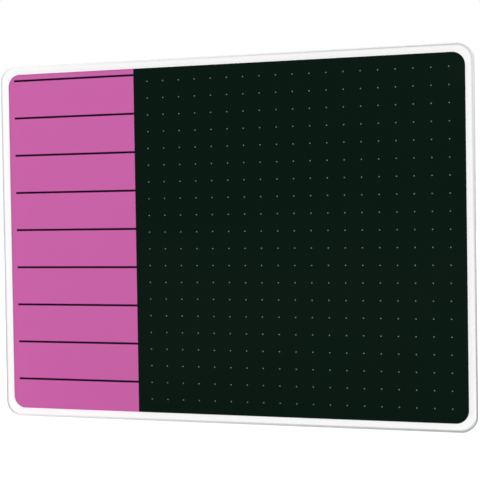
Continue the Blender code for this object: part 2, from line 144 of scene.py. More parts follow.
class PrintLayout(bpy.types.PropertyGroup):
    """Layout and inks of the film's print."""

    column_edge: place("Column edge", "Where the ruled column meets the dotted field", -114.5)
    rule_start: place("Rule start", "Left ends of the rules", -274.3)
    rule_top: place("First rule", "Height of the first rule over the board's middle", 198.35)
    rule_pitch: length("Rule pitch", "Distance between rules", 46)
    rule_width: length("Rule width", "Thickness of a rule", 2.55)
    dot_first: place("First dot column", "Where the first column of dots is", -96.9)
    dot_last: place("Last dot column", "Where the last column of dots is", 263.1)
    dot_row: place("First dot row", "Height of the first row of dots", 190.2)
    dot_pitch: length("Dot pitch", "Distance between dots", 20)
    dot_size: length("Dot size", "Diameter of a dot", 1.5)
    ink_blur: length("Ink blur", "Softness of a printed edge", 0.1)
    pink: colour("Column ink", "Colour of the ruled column", (0.555, 0.117, 0.367))
    black: colour("Field ink", "Colour of the dotted field", (0.0003, 0.0070, 0.0035))
    rule: colour("Rule ink", "Colour of the rules", (0.012, 0.0012, 0.012))
    dot: colour("Dot ink", "Colour of the dots", (0.155, 0.182, 0.171))


class FittingSizes(bpy.types.PropertyGroup):
    """Sizes of the brackets, clips, screws and pads."""

    bracket_round: length("Bracket round", "Width of the rounds along a bracket's edges", 0.25)
    clip_width: length("Clip width", "Width of a panel clip", 12)
    clip_heel: length("Clip heel", "Radius of a clip's heel corners", 2)
    clip_round: length("Clip round", "Radius along a clip's edges", 0.4)
    screw_hole: length("Screw hole", "Diameter of the hole in a clip", 2.1)
    head: length("Screw head", "Diameter of a screw's head", 3.6)
    head_height: length("Head height", "Height of a screw's head", 1.4)
    shank: length("Screw shank", "Diameter of a screw's shank", 1.5)
    recess_width: length("Recess width", "Width of the cross recess's arms", 0.62)
    recess_reach: length("Recess reach", "Length of an arm from the middle", 1.15)
    recess_depth: length("Recess depth", "Depth of the cross recess", 0.85)
    pad_round: length("Pad round", "Radius of a pad's edges", 0.45)
    pad_waist: length("Pad waist", "How far a pad's side is drawn in", 0.15)


class Finishes(bpy.types.PropertyGroup):
    """Colours of the finishes."""

    frame_white: colour("Frame", "Glossy white moulded plastic", (0.96, 0.963, 0.961))
    # Painted shade: the grey given to the frame's outer edge where its round turns away from the light.
    frame_edge: colour("Frame edge", "Greyer tone along the frame's outer edge", (0.4, 0.413, 0.409))
    bracket_white: colour("Brackets", "Satin plastic of the corner brackets", (0.74, 0.75, 0.745))
    clip_white: colour("Clips", "Satin plastic of the clips", (0.70, 0.71, 0.705))
    kraft: colour("Kraft paper", "Brown backing paper", (0.44, 0.29, 0.165))
    kraft_fibre: colour("Kraft fibre", "Darker fibres in the backing paper", (0.25, 0.15, 0.075))
    fibreboard: colour("Fibreboard", "Core board", (0.33, 0.2, 0.11))
    steel: colour("Steel", "Bare steel sheet", (0.55, 0.56, 0.57))
    zinc: colour("Zinc", "Bright plated screws", (0.64, 0.65, 0.67))
    foam: colour("Pad foam", "Dark grey foam rubber", (0.045, 0.045, 0.048))


class StageSettings(bpy.types.PropertyGroup):
    """Camera, floor and light."""

    lens: number("Lens", "Focal length in millimetres", 96.88, min=1.0)
    camera_place: vector("Camera", "Where the camera stands", (0.4952, -1.4415, 0.0349), unit="LENGTH")
    camera_turn: vector(
        "Camera turn",
        "The camera's turn about X, Y and Z",
        tuple(math.radians(angle) for angle in (88.6756, 0.8824, 18.4634)),
        subtype="EULER",
    )
    key_from: vector("Key light", "Where the key light comes from", (0.085, -0.98, 0.165), subtype="XYZ")
    key_strength: number("Key strength", "Strength of the key light", 1.68)
    key_spread: number("Key spread", "How wide the key light is", math.radians(12), subtype="ANGLE")
    rear_from: vector("Rear light", "Where the rear light comes from", (-0.15, 0.95, 0.2), subtype="XYZ")
    rear_strength: number("Rear strength", "Strength of the rear light", 2.0)
    rear_spread: number("Rear spread", "How wide the rear light is", math.radians(16), subtype="ANGLE")
    sky_strength: number("Sky strength", "Strength of the even light", 0.51)
    floor_tone: colour("Floor", "Colour of the pale floor", (0.8, 0.8, 0.8))
    floor_glow: number("Floor glow", "White added to the floor as it is seen", 0.7)


GROUPS = {
    "whiteboard_frame": FrameSizes,
    "whiteboard_print": PrintLayout,
    "whiteboard_fittings": FittingSizes,
    "whiteboard_finishes": Finishes,
    "whiteboard_stage": StageSettings,
}


# Meshes from arrays.


def board_points(x, y, height):
    """Points in the world from x, y and height over the wall: the board stands, so height runs along -Y."""
    x, y, height = np.broadcast_arrays(x, y, height)
    return np.stack((x, -height, y), axis=-1)


def grid_faces(rows, columns, wrap_rows=False, wrap_columns=False):
    """Quads between the neighbours of a grid of points; a wrapped side joins its last line to its first."""
    place = np.arange(rows * columns).reshape(rows, columns)
    if wrap_rows:
        place = np.concatenate((place, place[:1]))
    if wrap_columns:
        place = np.concatenate((place, place[:, :1]), axis=1)
    quads = place[:-1, :-1], place[1:, :-1], place[1:, 1:], place[:-1, 1:]
    return np.stack(quads, axis=-1).reshape(-1, 4)


def repeated(points, faces):
    """One mesh of several like grids: points are (grid, row, column, xyz), faces those of one grid."""
    offsets = np.arange(len(points))[:, None, None] * (points[0].size // 3)
    return points.reshape(-1, 3), (faces[None] + offsets).reshape(-1, 4)


def arc(centre, radius, start, end, steps):
    """Points of a circle's arc between two angles, both ends included."""
    angle = np.linspace(start, end, steps + 1)
    return np.stack((centre[0] + radius * np.cos(angle), centre[1] + radius * np.sin(angle)), axis=-1)


def joined(*runs):
    """One line of points from runs of points and single points."""
    return np.concatenate([np.atleast_2d(np.asarray(run, dtype=float)) for run in runs])


def round_rectangle(half_x, half_y, radius, steps):
    """Round a rectangle with rounded corners: each corner's centre plus the radius in each direction.

    The sizes are arrays, one value for each station of a section, and give a row of stations for every
    direction.
    """
    turn = np.tile(np.linspace(0, QUARTER, steps + 1), 4)
    corner = np.repeat(np.arange(4), steps + 1)
    angle = (turn + (corner - 1) * QUARTER)[:, None]
    side_x = np.array((1, 1, -1, -1))[corner][:, None]
    side_y = np.array((-1, 1, 1, -1))[corner][:, None]
    x = side_x * (half_x - radius) + radius * np.cos(angle)
    y = side_y * (half_y - radius) + radius * np.sin(angle)
    return x, y


def turned(profile, steps):
    """A profile of (radius, height) turned about its axis: x and y on a circle of each radius."""
    angle = np.arange(steps)[:, None] / steps * 2 * math.pi
    radius, height = profile.T
    return radius * np.cos(angle), radius * np.sin(angle), height


def placed(centre, x, y, height):
    """The points and faces of a turned shape, moved to its centre."""
    return board_points(centre[0] + x, centre[1] + y, height), grid_faces(*x.shape, wrap_rows=True)


def add_object(name, data):
    """A new object in the scene."""
    thing = bpy.data.objects.new(name, data)
    bpy.context.scene.collection.objects.link(thing)
    return thing


def merge(mesh, step):
    """Merge a mesh's doubles, and then change it by one more step."""
    shape = bmesh.new()
    shape.from_mesh(mesh)
    bmesh.ops.remove_doubles(shape, verts=shape.verts, dist=SAME_PLACE)
    step(shape)
    shape.to_mesh(mesh)
    shape.free()


def new_piece(name, points, faces, material, slot, replaced=(), sharp=SHARP, marks=None):
    """A mesh object from points and faces, with doubles merged and faces outwards, riding on the board.

    marks gives a value for each point, kept on the mesh for the material to read.
    """
    mesh = bpy.data.meshes.new(name)
    mesh.from_pydata(points.reshape(-1, 3).tolist(), [], faces.tolist())
    if marks is not None:
        stored = mesh.attributes.new("edge", "FLOAT", "POINT")
        stored.data.foreach_set("value", np.ascontiguousarray(marks, dtype=np.float32).ravel())
    merge(mesh, lambda shape: bmesh.ops.recalc_face_normals(shape, faces=shape.faces))
    return add_piece(name, mesh, material, replaced, sharp)


def add_piece(name, mesh, material, replaced, sharp):
    """An object for a finished mesh, smooth but for its sharp edges, riding on the board."""
    mesh.shade_smooth()
    mesh.set_sharp_from_angle(angle=math.radians(sharp))
    mesh.materials.clear()
    mesh.materials.append(material)
    piece = add_object(name, mesh)
    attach(piece, BODY)
    if replaced:
        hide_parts(*replaced)
    return piece


def item_values(items, name, each=1, dtype=float):
    """One value, or several, of every item of a mesh as an array."""
    values = np.empty(len(items) * each, dtype=dtype)
    items.foreach_get(name, values)
    return values


def softened_copy(name, node, material, width):
    """A copy of a CAD node with its triangles merged into flat faces and its sharp edges rounded."""

    def join_flat(shape):
        bmesh.ops.dissolve_limit(shape, angle_limit=math.radians(1), verts=shape.verts, edges=shape.edges)

    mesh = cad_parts[node].data.copy()
    merge(mesh, join_flat)
    piece = add_piece(name, mesh, material, [node], SHARP)
    bevel = piece.modifiers.new("rounded_edges", "BEVEL")
    bevel.width = width
    bevel.segments = 2
    bevel.limit_method = "ANGLE"
    bevel.angle_limit = math.radians(50)
    bevel.harden_normals = True


def finish_node(name, material):
    """Give a CAD node its finish."""
    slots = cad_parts[name].material_slots
    if not slots:
        raise RuntimeError(f"{name} has no material slot to finish")
    for slot in slots:
        slot.material = material


# Shader building blocks.


def feed(tree, socket, value):
    """Link a socket to what it takes, or set its value."""
    if isinstance(value, bpy.types.NodeSocket):
        tree.links.new(value, socket)
    else:
        socket.default_value = value


def put(tree, kind, inputs=(), **settings):
    """A new shader node with its settings made and its inputs fed."""
    node = tree.nodes.new("ShaderNode" + kind)
    for name, value in settings.items():
        setattr(node, name, value)
    for key, value in dict(inputs).items():
        feed(tree, node.inputs[key], value)
    return node


def calc(tree, operation, *values):
    """The result of one sum on values or sockets."""
    node = put(tree, "Math", operation=operation)
    for socket, value in zip(node.inputs, values):
        feed(tree, socket, value)
    return node.outputs[0]


def mixed(tree, share, first, second):
    """Two colours mixed by a share."""
    node = put(tree, "Mix", data_type="RGBA")
    for index, value in ((0, share), (6, first), (7, second)):
        feed(tree, node.inputs[index], value)
    return node.outputs[2]


def ramp(tree, value, start, end, low=0.0, high=1.0, smooth=False):
    """A value mapped from one range to another, and held at its ends."""
    inputs = {"Value": value, "From Min": start, "From Max": end, "To Min": low, "To Max": high}
    node = put(tree, "MapRange", inputs, interpolation_type="SMOOTHSTEP" if smooth else "LINEAR")
    return node.outputs["Result"]


def noise(tree, where, scale, detail=2.0, roughness=0.5):
    """Noise at a place."""
    inputs = {"Vector": where, "Scale": scale, "Detail": detail, "Roughness": roughness}
    return put(tree, "TexNoise", inputs).outputs["Fac"]


def rgba(tint):
    """A colour with full alpha."""
    return (*tint, 1.0)


def new_group(name, takes, gives):
    """A shader node group with named sockets: the tree, its inputs and its outputs."""
    tree = bpy.data.node_groups.new(name, "ShaderNodeTree")
    kinds = {"Vector": "Vector", "Colour": "Color"}
    for direction, sockets in (("INPUT", takes), ("OUTPUT", gives)):
        for socket in sockets:
            kind = "NodeSocket" + kinds.get(socket, "Float")
            tree.interface.new_socket(socket, in_out=direction, socket_type=kind)
    return tree, tree.nodes.new("NodeGroupInput").outputs, tree.nodes.new("NodeGroupOutput").inputs


def uneven_tint():
    """Colour that drifts a little: broad clouds and fine specks lighten and darken it."""
    tree, given, result = new_group("uneven_tint", ("Vector", "Colour", "Scale", "Amount"), ["Colour"])
    clouds = noise(tree, given["Vector"], given["Scale"], 3.0)
    specks = noise(tree, given["Vector"], calc(tree, "MULTIPLY", given["Scale"], 23.0), 1.0)
    drift = calc(tree, "ADD", calc(tree, "MULTIPLY", clouds, 1.4), calc(tree, "MULTIPLY", specks, 0.6))
    gain = calc(tree, "MULTIPLY_ADD", calc(tree, "SUBTRACT", drift, 1.0), given["Amount"], 1.0)
    tint = put(tree, "VectorMath", {0: given["Colour"], "Scale": gain}, operation="SCALE")
    feed(tree, result["Colour"], tint.outputs[0])
    return tree


def gloss_patches():
    """Roughness that varies in soft patches between two values."""
    tree, given, result = new_group("gloss_patches", ("Vector", "Scale", "Low", "High"), ["Roughness"])
    patches = noise(tree, given["Vector"], given["Scale"], 3.0, 0.6)
    feed(tree, result["Roughness"], ramp(tree, patches, *NOISE_SPAN, given["Low"], given["High"]))
    return tree


def mould_grain():
    """Height of a moulded skin: the mould's fine grain over slow waves left by shrinking plastic."""
    tree, given, result = new_group("mould_grain", ("Vector", "Scale", "Waves"), ["Height"])
    grain = noise(tree, given["Vector"], given["Scale"], 3.0, 0.6)
    waves = noise(tree, given["Vector"], calc(tree, "MULTIPLY", given["Scale"], 0.03), 1.0)
    feed(tree, result["Height"], calc(tree, "MULTIPLY_ADD", waves, given["Waves"], grain))
    return tree


def rubbed_marks():
    """Mask of hairline marks in two directions: thin lines where a stretched noise crosses its middle."""
    tree, given, result = new_group("rubbed_marks", ("Vector", "Scale", "Width"), ["Mask"])
    masks = []
    for turn in (24, -58):
        inputs = {"Vector": given["Vector"], "Rotation": (0, math.radians(turn), 0), "Scale": (1, 1, 18)}
        drawn = noise(tree, put(tree, "Mapping", inputs).outputs[0], given["Scale"], 1.0)
        line = calc(tree, "ABSOLUTE", calc(tree, "SUBTRACT", drawn, 0.5))
        masks.append(ramp(tree, line, given["Width"], 0.0))
    feed(tree, result["Mask"], calc(tree, "MAXIMUM", *masks))
    return tree


def shared(tree, make, where, **inputs):
    """A shared group placed in a material, made by its function the first time that it is asked for."""
    group = bpy.data.node_groups.get(make.__name__) or make()
    return put(tree, "Group", {"Vector": where, **inputs}, node_tree=group).outputs[0]


def new_finish(name, **plain):
    """A Principled material with plain values set, its tree, and the piece's own coordinates."""
    material = bpy.data.materials.new(name)
    material.use_nodes = True
    tree = material.node_tree
    for key, value in plain.items():
        tree.nodes["Principled BSDF"].inputs[key.replace("_", " ")].default_value = value
    return material, tree, put(tree, "TexCoord").outputs["Object"]


def surfaced(material, base, roughness, height, strength, depth):
    """A material with its colour, its roughness and a bump of a height fed to its shader."""
    tree = material.node_tree
    inputs = tree.nodes["Principled BSDF"].inputs
    bump = put(tree, "Bump", {"Strength": strength, "Distance": depth, "Height": height})
    for key, value in (("Base Color", base), ("Roughness", roughness), ("Normal", bump.outputs["Normal"])):
        feed(tree, inputs[key], value)
    return material


def stretched(tree, where, scale):
    """Coordinates scaled along each axis."""
    return put(tree, "Mapping", {"Vector": where, "Scale": scale}).outputs[0]


# Finishes.


def moulded_plastic(name, tint, roughness, grain, depth, edge_shade_tint=None):
    """White moulded plastic: tint and gloss drift a little, and the skin has grain.

    With an edge tint, the surface is greyer and duller by the mesh's edge mark: painted shade along the
    frame's outer edge, broken up by noise.
    """
    material, tree, where = new_finish(name, Specular_IOR_Level=0.05)
    low, high = roughness
    base = shared(tree, uneven_tint, where, Colour=rgba(tint), Scale=26.0, Amount=0.02)
    gloss = shared(tree, gloss_patches, where, Scale=45.0, Low=low, High=high)
    if edge_shade_tint is not None:
        # Painted shade: the edge mark, broken up by noise, greys the plastic towards the edge tint and makes
        # it rougher.
        edge = put(tree, "Attribute", attribute_name="edge").outputs["Fac"]
        broken = ramp(tree, noise(tree, where, 90.0, 4.0), 0.3, 0.75, 0.88, 1.0)
        painted_shade = calc(tree, "MULTIPLY", edge, broken)
        base = mixed(tree, painted_shade, base, rgba(edge_shade_tint))
        gloss = calc(tree, "MULTIPLY_ADD", painted_shade, 0.3, gloss)
    height = shared(tree, mould_grain, where, Scale=grain, Waves=1.5)
    return surfaced(material, base, gloss, height, 0.25, depth)


def near_lines(tree, coordinate, first, pitch):
    """Distance from the nearest of evenly spaced lines."""
    return calc(tree, "PINGPONG", calc(tree, "SUBTRACT", coordinate, first), pitch / 2)


def inked(tree, value, limit, blur, smooth=False):
    """1 where a value is under its limit, with a soft edge; a negative blur turns it round."""
    return ramp(tree, value, limit + blur, limit - blur, smooth=smooth)


def film_print(layout):
    """The film's print: a ruled pink column and a dark field with a square grid of dots, under a gloss."""
    material, tree, where = new_finish("printed_dry_erase_film", Specular_IOR_Level=0.04)
    parts = put(tree, "SeparateXYZ", {0: where}).outputs
    x, y = parts["X"], parts["Z"]
    blur = layout.ink_blur

    column = inked(tree, x, layout.column_edge, blur)
    from_rule = near_lines(tree, y, layout.rule_top, layout.rule_pitch)
    rule = inked(tree, from_rule, layout.rule_width / 2, blur)
    rule = calc(tree, "MULTIPLY", rule, inked(tree, x, layout.rule_start, -blur))

    across = near_lines(tree, x, layout.dot_first, layout.dot_pitch)
    up = near_lines(tree, y, layout.dot_row, layout.dot_pitch)
    both = put(tree, "CombineXYZ", {0: across, 1: up}).outputs[0]
    from_dot = put(tree, "VectorMath", {0: both}, operation="LENGTH").outputs["Value"]
    dot = inked(tree, from_dot, layout.dot_size / 2, blur, smooth=True)
    half = layout.dot_pitch / 2
    for test, edge in (("GREATER_THAN", layout.dot_first - half), ("LESS_THAN", layout.dot_last + half)):
        dot = calc(tree, "MULTIPLY", dot, calc(tree, test, x, edge))

    dark = shared(tree, uneven_tint, where, Colour=rgba(layout.black), Scale=14.0, Amount=0.12)
    pink = shared(tree, uneven_tint, where, Colour=rgba(layout.pink), Scale=14.0, Amount=0.015)
    field = mixed(tree, dot, dark, rgba(layout.dot))
    ruled = mixed(tree, rule, pink, rgba(layout.rule))
    base = mixed(tree, column, field, ruled)

    gloss = shared(tree, gloss_patches, where, Scale=20.0, Low=0.1, High=0.15)
    wiped = shared(tree, rubbed_marks, where, Scale=30.0, Width=0.004)
    gloss = calc(tree, "MULTIPLY_ADD", wiped, 0.05, gloss)
    peel = shared(tree, mould_grain, where, Scale=420.0, Waves=2.0)
    return surfaced(material, base, gloss, peel, 0.05, 0.02 * MM)


def scaled(tint, share):
    """A lighter or darker tone of a colour."""
    return rgba([share * part for part in tint])


def brushed_metal(name, tint, roughness, along):
    """Metal with fine lines along one direction: noise drawn out along it."""
    material, tree, where = new_finish(name, Metallic=1.0)
    streaks = noise(tree, stretched(tree, where, along), 900.0, 3.0)
    base = shared(tree, uneven_tint, where, Colour=rgba(tint), Scale=60.0, Amount=0.06)
    dark = calc(tree, "MULTIPLY", streaks, 0.2)
    base = mixed(tree, dark, base, scaled(tint, 0.7))
    gloss = ramp(tree, streaks, *NOISE_SPAN, *roughness)
    return surfaced(material, base, gloss, streaks, 0.15, 0.01 * MM)


def kraft_paper(paper, fibre):
    """Brown paper: long fibres along its width, dark specks, and a soft cloudy formation."""
    material, tree, where = new_finish("brown_backing_paper")
    base = shared(tree, uneven_tint, where, Colour=rgba(paper), Scale=18.0, Amount=0.16)
    strands = noise(tree, stretched(tree, where, (1, 1, 9)), 260.0, 4.0, 0.65)
    specks = ramp(tree, noise(tree, where, 700.0), 0.66, 0.74, 0.0, 0.5)
    dark = calc(tree, "MAXIMUM", ramp(tree, strands, 0.5, 0.72, 0.0, 0.55), specks)
    gloss = ramp(tree, strands, *NOISE_SPAN, 0.72, 0.9)
    return surfaced(material, mixed(tree, dark, base, rgba(fibre)), gloss, strands, 0.35, 0.05 * MM)


def pressed_fibre(tint):
    """Fibreboard: short fibres pressed flat, pale and dark."""
    material, tree, where = new_finish("pressed_fibreboard")
    base = shared(tree, uneven_tint, where, Colour=rgba(tint), Scale=120.0, Amount=0.35)
    fibres = noise(tree, where, 900.0, 4.0, 0.7)
    gloss = ramp(tree, fibres, *NOISE_SPAN, 0.8, 0.95)
    return surfaced(material, base, gloss, fibres, 0.5, 0.08 * MM)


def pad_foam(tint):
    """Closed-cell foam: small round cells with thin walls between them."""
    material, tree, where = new_finish("dark_pad_foam")
    cells = put(tree, "TexVoronoi", {"Vector": where, "Scale": 2600.0}, feature="DISTANCE_TO_EDGE")
    walls = ramp(tree, cells.outputs["Distance"], 0.0, 0.25)
    base = shared(tree, uneven_tint, where, Colour=rgba(tint), Scale=300.0, Amount=0.25)
    gloss = ramp(tree, walls, 0.0, 1.0, 0.75, 0.92)
    return surfaced(material, mixed(tree, walls, scaled(tint, 1.7), base), gloss, walls, 0.6, 0.1 * MM)


# Shapes.


def frame_section(sizes, lip_underside, roof, panel_inset):
    """Stations (inset, height) round the rail's section, up the outside, over the face and back inside.

    The rear of the outer wall leans out to the parting line. The face falls from its crest by a power of
    the distance to the lip. Each station has two marks for how grey it is. One line of them is full at the
    crest and fades over the start of the face, the other lies low on the outer round. Both fade by their
    distance round it, and are faint on rim and lip.
    """
    outer, lip, rim = sizes.edge_round, sizes.lip_round, sizes.rim_round
    least, back = 0.3 * MM, 0.15 * MM
    inner = max(outer - sizes.wall, least)
    lip_top = sizes.crest - sizes.face_fall
    face_end = sizes.rail - lip
    belt, depth = sizes.rim + sizes.taper_height, sizes.parting_depth
    lean = 2 * depth * sizes.taper / sizes.taper_height

    round_steps, face_steps = 14, 16
    turn = np.linspace(0, 1, round_steps + 1)
    along = np.linspace(0, 1, face_steps + 1)[1:]
    greyest, rim_mark, lip_mark = (1, 0.3), 0.4, 0.15
    at_crest, at_wall = (np.clip(1.25 - 2.2 * np.abs(turn - peak), 0, 1) for peak in greyest)
    on_face = np.clip(0.6 - 2.4 * along, 0, 1)
    fall = sizes.face_fall * along**sizes.face_curve
    face = np.stack((outer + (face_end - outer) * along, sizes.crest - fall), -1)
    runs = (
        (arc((sizes.taper + rim, sizes.rim + rim), rim, -QUARTER, -math.pi, 5), rim_mark),
        ([(lean, belt - 2 * depth), (depth, belt - depth / 2)], 0),
        ([(depth, belt + depth / 2), (0, belt + 2 * depth)], 0),
        (arc((outer, sizes.crest - outer), outer, math.pi, QUARTER, round_steps), (at_crest, at_wall)),
        (face, (on_face, 0 * on_face)),
        (arc((face_end, lip_top - lip), lip, QUARTER, 0, 6)[1:], lip_mark),
        (arc((sizes.rail - back, lip_underside + back), back, 0, -QUARTER, 3), 0),
        ([(panel_inset, lip_underside)], 0),
        (arc((sizes.wall + inner, roof - inner), inner, QUARTER, math.pi, 6), 0),
        (arc((sizes.wall - back, sizes.rim + back), back, 0, -QUARTER, 3), 0),
    )
    stations = joined(*(run for run, _ in runs))
    marks = np.concatenate([np.broadcast_to(mark, (2, len(run))) for run, mark in runs], axis=1)
    return stations, marks


def corner_radius(sizes, inset):
    """Corner radius at an inset: it slides from the outer corner's to the opening's."""
    return sizes.outer_corner + (sizes.opening_corner - sizes.outer_corner) * inset / sizes.rail


def moulding_points(sizes, stations):
    """The rail's section carried round the board: at each station the path is a rounded rectangle, set in."""
    inset, height = stations[:, 0], stations[:, 1]
    half_x, half_y = sizes.width / 2 - inset, sizes.height / 2 - inset
    x, y = round_rectangle(half_x, half_y, corner_radius(sizes, inset), sizes.corner_steps)
    return board_points(x, y, height)


def edge_marks(sizes, marks):
    """How much painted shade the frame takes at each point: two lines of marks mixed by a share, times a
    weight.

    Both slide from place to place, so the painted shade is strongest at the lower right and faintest at the
    upper left.
    They are given where each corner starts and ends, from the lower right round to the lower left, and the
    sides between the corners join them.
    """

    def sliding(starts, ends):
        return np.linspace(starts, ends, sizes.corner_steps + 1, axis=1).reshape(-1, 1)

    at_crest, at_wall = marks
    # Painted shade: strongest round the lower right, faintest at the upper left; on the lower right corner it
    # slides from the crest's line to the wall's line, and back along the right side.
    weight = sliding((1.9, 0.7, 0.1, 1.3), (1.8, 0.9, 0.8, 0.35))
    share = sliding((0, 0, 0, 0), (1, 0, 0, 0))
    return np.clip(weight * (at_crest + share * (at_wall - at_crest)), 0, 1)


def rail_turn(rail, sizes):
    """A rail's turn from the bottom rail, and the distance from the board's middle to its outer edge."""
    side = RAILS.index(rail)
    return side * QUARTER, (sizes.width if side % 2 else sizes.height) / 2


def spun(x, y, turn):
    """Places turned about the middle."""
    return x * math.cos(turn) - y * math.sin(turn), x * math.sin(turn) + y * math.cos(turn)


def on_rail(rail, sizes, along, inset):
    """Board x and y of places along a rail and in from its outer edge: turned about the board's middle."""
    turn, reach = rail_turn(rail, sizes)
    return spun(along, inset - reach, turn)


def from_rail(rail, sizes, x, y):
    """The other way round: the place along a rail, and the inset, of board x and y."""
    turn, reach = rail_turn(rail, sizes)
    along, out = spun(x, y, -turn)
    return along, reach + out


def rail_of(x, y, sizes):
    """The rail that a place lies on: the one with the nearest outer edge."""
    return min(RAILS, key=lambda rail: from_rail(rail, sizes, x, y)[1])


def screw_places(sizes):
    """The screws of each rail as sorted places along it."""
    found = {rail: [] for rail in RAILS}
    for node in SCREWS:
        x, y = middle(node)
        rail = rail_of(x, y, sizes)
        found[rail].append(from_rail(rail, sizes, x, y)[0])
    return {rail: np.sort(np.array(places)) for rail, places in found.items()}


def boss_points(sizes, centres, back, bottom, root):
    """Bosses: a profile turned about each screw, up the outside, over a rounded edge and down the hole."""
    outer, bore = sizes.boss / 2, sizes.pilot / 2
    flare, edge, lead, steps = 0.1 * MM, 0.3 * MM, 0.2 * MM, 32
    profile = joined(
        (0, root),
        (outer + flare, root),
        arc((outer - edge, back + edge), edge, 0, -QUARTER, 4),
        arc((bore + lead, back + lead), lead, -QUARTER, -math.pi, 3),
        (bore, bottom),
        (0, bottom + bore / 2),
    )
    x, y, height = turned(profile, steps)
    centres = centres[:, None, None]
    points = board_points(x + centres[..., 0], y + centres[..., 1], height)
    return repeated(points, grid_faces(steps, len(profile), wrap_rows=True))


def rib_points(sizes, rail, along, start, end, back, root):
    """Ribs: a thin section with a rounded rear edge, carried in from the wall, its ends closed to a point."""
    half, tip = sizes.rib / 2, 0.35 * MM
    section = joined(
        (-half, root),
        arc((-half + tip, back + tip), tip, math.pi, 3 * QUARTER, 4),
        arc((half - tip, back + tip), tip, 3 * QUARTER, 4 * QUARTER, 4),
        (half, root),
    )
    inset = np.array([start, start, end, end])[None, :, None]
    width = np.array([0.0, 1.0, 1.0, 0.0])[None, :, None]
    across = along[:, None, None] + section[:, 0] * width
    x, y = on_rail(rail, sizes, across, inset)
    height = np.where(width > 0, section[:, 1], (back + root) / 2)
    points = board_points(x, y, height)
    return repeated(points, grid_faces(inset.size, len(section), wrap_columns=True))


def combined(parts):
    """One mesh of several: their points in a row, and their faces counted on."""
    starts = np.cumsum([0] + [len(points) for points, _ in parts[:-1]])
    faces = np.concatenate([faces + start for (_, faces), start in zip(parts, starts)])
    return np.concatenate([points for points, _ in parts]), faces


def sheet_points(half_x, half_y, radius, back, front):
    """A flat sheet with rounded corners: rows of points whose half-width shrinks on each corner's arc.

    Each row runs across the front and returns along the back, so the rows make a flat tube, and its two
    ends close to a line.
    """
    columns, corner_steps = 32, 8
    bend = np.sin(np.linspace(0, QUARTER, corner_steps + 1))
    upper = half_y - radius + radius * bend
    y = np.concatenate((-upper[::-1], [0.0], upper))
    y = np.concatenate((y[:1], y, y[-1:]))
    past = np.maximum(np.abs(y) - (half_y - radius), 0)
    half = half_x - radius + np.sqrt(np.maximum(radius**2 - past**2, 0))
    across = np.linspace(-1, 1, columns)
    half[[0, -1]] -= (front - back) / 2
    x = half[:, None] * np.concatenate((across, across[::-1]))
    height = np.repeat([front, back], columns) * np.ones((len(y), 1))
    height[[0, -1]] = (front + back) / 2
    points = board_points(x, y[:, None], height)
    return points, grid_faces(len(y), 2 * columns, wrap_columns=True)


def clip_points(sizes, fittings, rail, along, heel, tip, hole, back, front):
    """A clip as a ring about its screw hole, on rays out from the hole.

    On each ray the section runs from the hole's wall over the rear face, round the rim and back along
    the front face. The rim's distance along a ray comes from the clip's outline: a straight heel with
    small corners and a full round tip.
    """
    half, corner = fittings.clip_width / 2, fittings.clip_heel
    straight, corner_steps, tip_steps, steps = 24, 8, 40, 96
    outline = joined(
        np.linspace((-half + corner, heel), (half - corner, heel), straight, endpoint=False),
        arc((half - corner, heel + corner), corner, -QUARTER, 0, corner_steps),
        np.linspace((half, heel + corner), (half, tip - half), straight)[1:],
        arc((0, tip - half), half, 0, math.pi, tip_steps)[1:],
        np.linspace((-half, tip - half), (-half, heel + corner), straight)[1:],
        arc((-half + corner, heel + corner), corner, math.pi, 3 * QUARTER, corner_steps)[1:-1],
    )
    out = outline - np.array([0, hole])
    bearing = np.unwrap(np.arctan2(out[:, 1], out[:, 0]))
    ray = np.linspace(0, 2 * math.pi, steps, endpoint=False)
    around = np.concatenate((bearing - 2 * math.pi, bearing, bearing + 2 * math.pi))
    rim = [np.interp(ray, around, np.tile(out[:, axis], 3)) for axis in (0, 1)]
    reach = np.hypot(*rim)[:, None]

    soft, bore, lead = fittings.clip_round, fittings.screw_hole / 2, 0.15 * MM
    edge = joined(
        arc((soft, back + soft), soft, -QUARTER, -math.pi, 4),
        arc((soft, front - soft), soft, math.pi, QUARTER, 4),
    )
    wall = np.broadcast_to((bore, bore + lead), (steps, 2))
    radial = np.concatenate((wall, reach - edge[:, 0], wall[:, ::-1]), axis=1)
    height = np.concatenate(([back + lead, back], edge[:, 1], [front, front - lead]))
    ray = ray[:, None]
    x, y = on_rail(rail, sizes, along + radial * np.cos(ray), hole + radial * np.sin(ray))
    return board_points(x, y, height), grid_faces(*radial.shape, wrap_rows=True, wrap_columns=True)


def smooth_step(value):
    """0 to 1, level at both ends."""
    value = np.clip(value, 0, 1)
    return value**2 * (3 - 2 * value)


def screw_points(fittings, centre, turn, back, front):
    """A pan-head screw: a turned profile whose head is pressed in where its cross recess is.

    The head is an ellipse over a short wall. The recess depth at a place on the head is the product of
    two smooth steps, one across the nearer arm and one along it.
    """
    head, shank = fittings.head / 2, fittings.shank / 2
    seat = back + fittings.head_height
    wall = fittings.head_height / 3
    dome = fittings.head_height - wall
    crown, chamfer, steps = 0.86, 0.1 * MM, 72
    rim = np.sin(np.linspace(math.asin(crown), QUARTER, 8))[1:]
    radius = np.concatenate((np.linspace(0, crown, 22), rim))
    top = seat - wall - dome * np.sqrt(np.maximum(1 - radius**2, 0))
    profile = joined(
        np.stack((radius * head, top), -1),
        (head, seat - chamfer),
        (head - chamfer, seat),
        (shank, seat),
        (shank, front - shank),
        (shank / 2, front),
        (0, front),
    )
    x, y, height = turned(profile, steps)
    near = np.minimum(np.abs(x), np.abs(y))
    far = np.maximum(np.abs(x), np.abs(y))
    edge, rise = 0.16 * MM, 0.45
    across = smooth_step((fittings.recess_width / 2 - near) / edge + 0.5)
    ends = smooth_step((fittings.recess_reach - far) / edge + 0.5)
    taper = 1 - rise * far / fittings.recess_reach
    pressed = fittings.recess_depth * across * ends * taper
    height = height + np.where(np.arange(len(profile)) < len(radius), pressed, 0)
    return placed(centre, *spun(x, y, turn), height)


